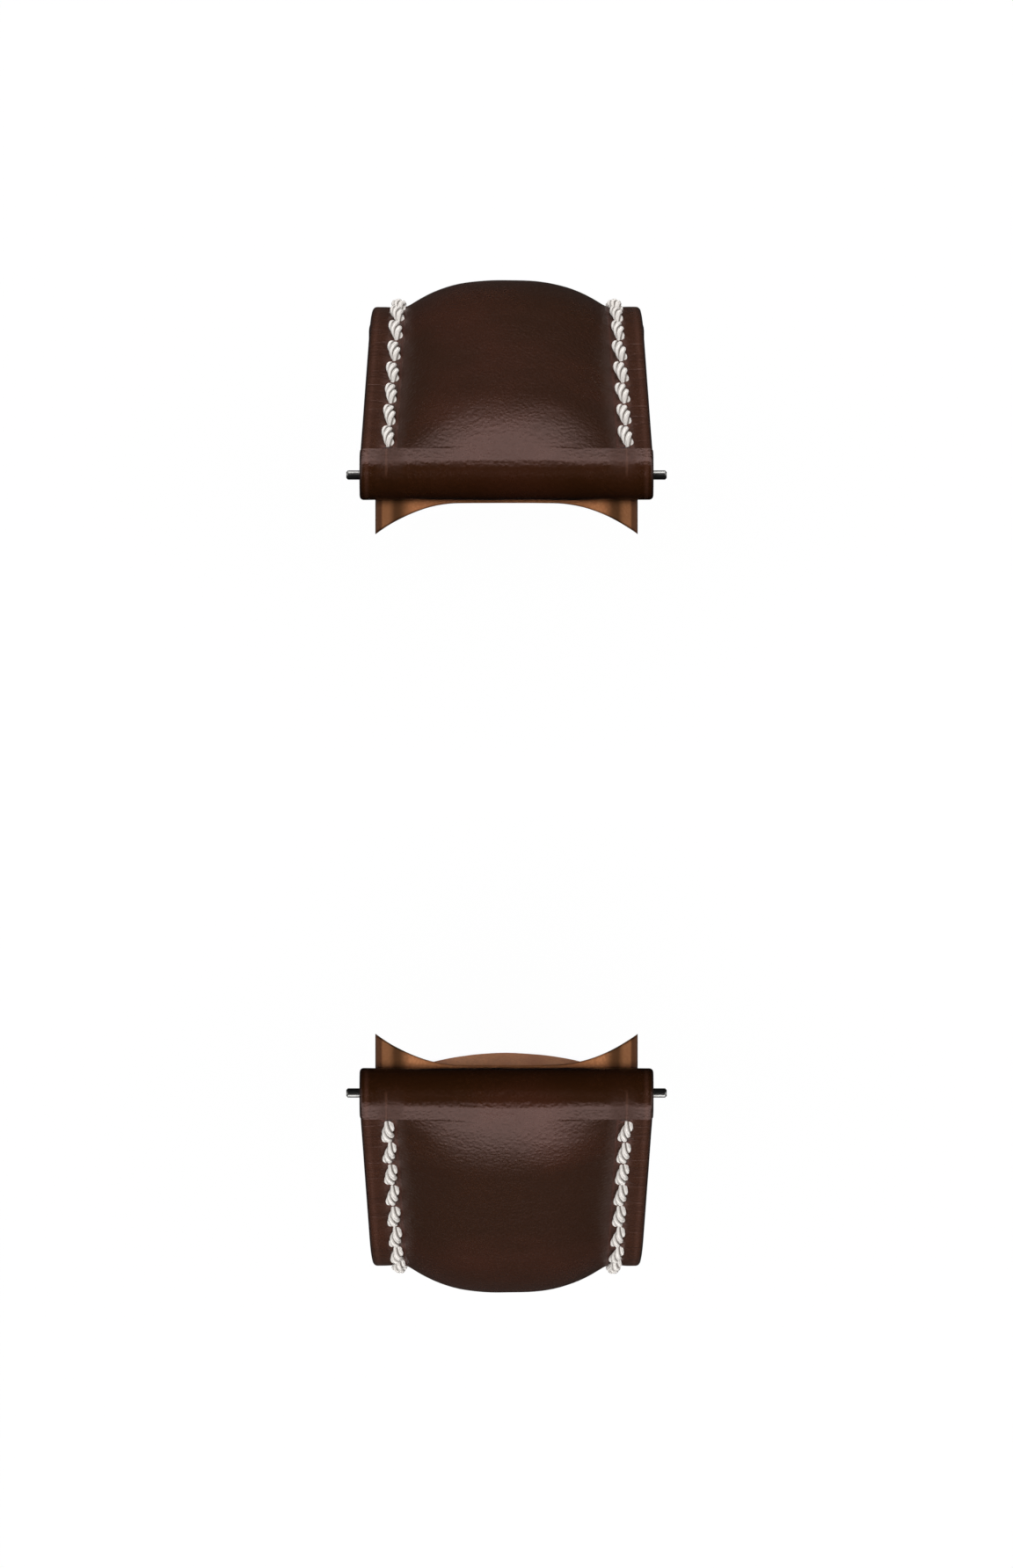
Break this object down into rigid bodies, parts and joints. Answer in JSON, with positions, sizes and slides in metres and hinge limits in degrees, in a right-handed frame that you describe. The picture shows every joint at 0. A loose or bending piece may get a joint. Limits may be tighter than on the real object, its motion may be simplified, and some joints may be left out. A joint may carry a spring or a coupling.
{
  "type": "leather watch strap",
  "caption": "Padded brown leather watch strap in two halves with white stitching, tan lining, pin buckle, keepers and sprung lug bars.",
  "frame": {"origin": "centre of the watch head's place, level with the spring bars", "axes": "+X to 3 o'clock, +Y to 12 o'clock, +Z out of the dial; both halves hang down -Z"},
  "size_m": [0.024, 0.0778, 0.1122],
  "materials": {
    "outer_leather": "dark brown, waxed, fine grain",
    "lining_leather": "tan, matt",
    "keeper_leather": "dark brown, waxed",
    "padding": "felted fibre",
    "tape": "plain woven nylon",
    "thread": "waxed twisted linen",
    "buckle_steel": "polished with fine brushing",
    "bar_steel": "satin",
    "spring_steel": "drawn wire"
  },
  "bodies": {
    "root": {"upper_bar_tube": "bar_steel", "upper_bar_spring": "spring_steel", "lower_bar_tube": "bar_steel", "lower_bar_spring": "spring_steel"},
    "upper_strap": {"upper_outer_leather": "outer_leather", "upper_lining": "lining_leather", "upper_padding": "padding", "upper_tape": "tape", "upper_stitching_left": "thread", "upper_stitching_right": "thread", "fixed_keeper": "keeper_leather", "buckle_bar_tube": "bar_steel", "buckle_bar_spring": "spring_steel"},
    "lower_strap": {"lower_outer_leather": "outer_leather", "lower_lining": "lining_leather", "lower_padding": "padding", "lower_tape": "tape", "lower_stitching_left": "thread", "lower_stitching_right": "thread"},
    "free_keeper": {"free_keeper": "keeper_leather", "free_keeper_seam": "thread"},
    "buckle_frame": {"buckle_frame": "buckle_steel"},
    "buckle_tongue": {"buckle_tongue": "buckle_steel"},
    "upper_bar_tip_left": {"upper_bar_tip_left": "bar_steel"},
    "upper_bar_tip_right": {"upper_bar_tip_right": "bar_steel"},
    "lower_bar_tip_left": {"lower_bar_tip_left": "bar_steel"},
    "lower_bar_tip_right": {"lower_bar_tip_right": "bar_steel"},
    "buckle_bar_tip_left": {"buckle_bar_tip_left": "bar_steel"},
    "buckle_bar_tip_right": {"buckle_bar_tip_right": "bar_steel"}
  },
  "joints": [
    {"name": "upper_swing", "type": "hinge", "parent": "root", "child": "upper_strap", "pos_m": [0, 0.02315, 0], "axis": [1, 0, 0], "range_deg": [0, 75]},
    {"name": "lower_swing", "type": "hinge", "parent": "root", "child": "lower_strap", "pos_m": [0, -0.02315, 0], "axis": [-1, 0, 0], "range_deg": [0, 75]},
    {"name": "free_keeper_slide", "type": "slide", "parent": "upper_strap", "child": "free_keeper", "axis": [0, -0.1564, -0.9877], "range_m": [-0.005, 0.0085]},
    {"name": "buckle_swing", "type": "hinge", "parent": "upper_strap", "child": "buckle_frame", "pos_m": [0, 0.02787, -0.07104], "axis": [1, 0, 0], "range_deg": [-45, 45]},
    {"name": "tongue_swing", "type": "hinge", "parent": "buckle_frame", "child": "buckle_tongue", "pos_m": [0, 0.02787, -0.07104], "axis": [1, 0, 0], "range_deg": [0, 70]},
    {"name": "upper_bar_tip_left_push", "type": "slide", "parent": "root", "child": "upper_bar_tip_left", "axis": [1, 0, 0], "range_m": [0, 0.001], "stiffness_N_per_m": 1500, "springref_m": -0.001, "deforming": ["upper_bar_spring"]},
    {"name": "upper_bar_tip_right_push", "type": "slide", "parent": "root", "child": "upper_bar_tip_right", "axis": [-1, 0, 0], "range_m": [0, 0.001], "stiffness_N_per_m": 1500, "springref_m": -0.001, "deforming": ["upper_bar_spring"]},
    {"name": "lower_bar_tip_left_push", "type": "slide", "parent": "root", "child": "lower_bar_tip_left", "axis": [1, 0, 0], "range_m": [0, 0.001], "stiffness_N_per_m": 1500, "springref_m": -0.001, "deforming": ["lower_bar_spring"]},
    {"name": "lower_bar_tip_right_push", "type": "slide", "parent": "root", "child": "lower_bar_tip_right", "axis": [-1, 0, 0], "range_m": [0, 0.001], "stiffness_N_per_m": 1500, "springref_m": -0.001, "deforming": ["lower_bar_spring"]},
    {"name": "buckle_bar_tip_left_push", "type": "slide", "parent": "upper_strap", "child": "buckle_bar_tip_left", "axis": [1, 0, 0], "range_m": [0, 0.001], "stiffness_N_per_m": 1500, "springref_m": -0.001, "deforming": ["buckle_bar_spring"]},
    {"name": "buckle_bar_tip_right_push", "type": "slide", "parent": "upper_strap", "child": "buckle_bar_tip_right", "axis": [-1, 0, 0], "range_m": [0, 0.001], "stiffness_N_per_m": 1500, "springref_m": -0.001, "deforming": ["buckle_bar_spring"]}
  ]
}
